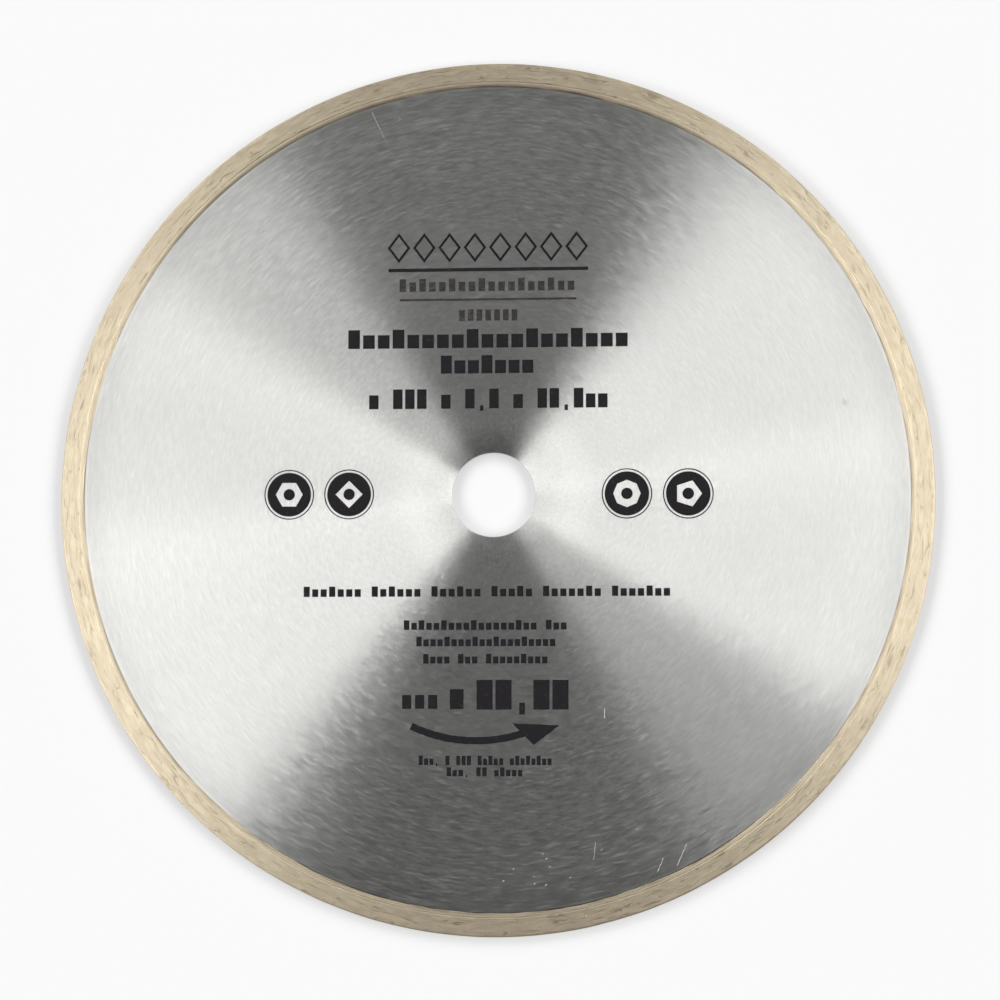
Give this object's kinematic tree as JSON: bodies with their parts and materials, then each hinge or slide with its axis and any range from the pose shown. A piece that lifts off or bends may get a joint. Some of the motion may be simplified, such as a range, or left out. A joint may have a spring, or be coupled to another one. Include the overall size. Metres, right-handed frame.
{
  "type": "diamond blade",
  "caption": "Round continuous-rim diamond blade for tile: ground steel disc with a central bore, a thin sintered rim and printed marks on one face.",
  "frame": {"origin": "centre of the bore, halfway through the steel", "axes": "+Z along the spin axis, out of the printed face; +Y to the top of the print; +X to its right"},
  "size_m": [0.23, 0.23, 0.0024],
  "materials": {
    "core_steel": "ground in circles about the bore, satin",
    "foot_bronze": "sintered bronze, matt, with a ground shoulder",
    "diamond_bond": "sintered bronze bond, fine grained and pitted",
    "diamond": "small dark translucent crystals",
    "ink_black": "screen-printed black ink",
    "ink_thin": "screen-printed black ink, thin coat"
  },
  "bodies": {
    "root": {"steel_core": "core_steel", "rim_foot": "foot_bronze", "diamond_rim": "diamond_bond", "diamond_grit": "diamond", "print_badge_1": "ink_black", "print_badge_2": "ink_black", "print_badge_3": "ink_black", "print_badge_4": "ink_black", "print_code_row": "ink_thin", "print_heavy_rule": "ink_black", "print_light_rule": "ink_thin", "print_maker_mark": "ink_black", "print_notice_row_1": "ink_thin", "print_notice_row_2": "ink_thin", "print_notice_row_3": "ink_thin", "print_price_row": "ink_black", "print_rotation_arrow": "ink_black", "print_size_row": "ink_black", "print_speed_row_1": "ink_thin", "print_speed_row_2": "ink_thin", "print_submark_row": "ink_thin", "print_subtitle_row": "ink_black", "print_title_row": "ink_black", "print_uses_row": "ink_thin"}
  },
  "joints": []
}
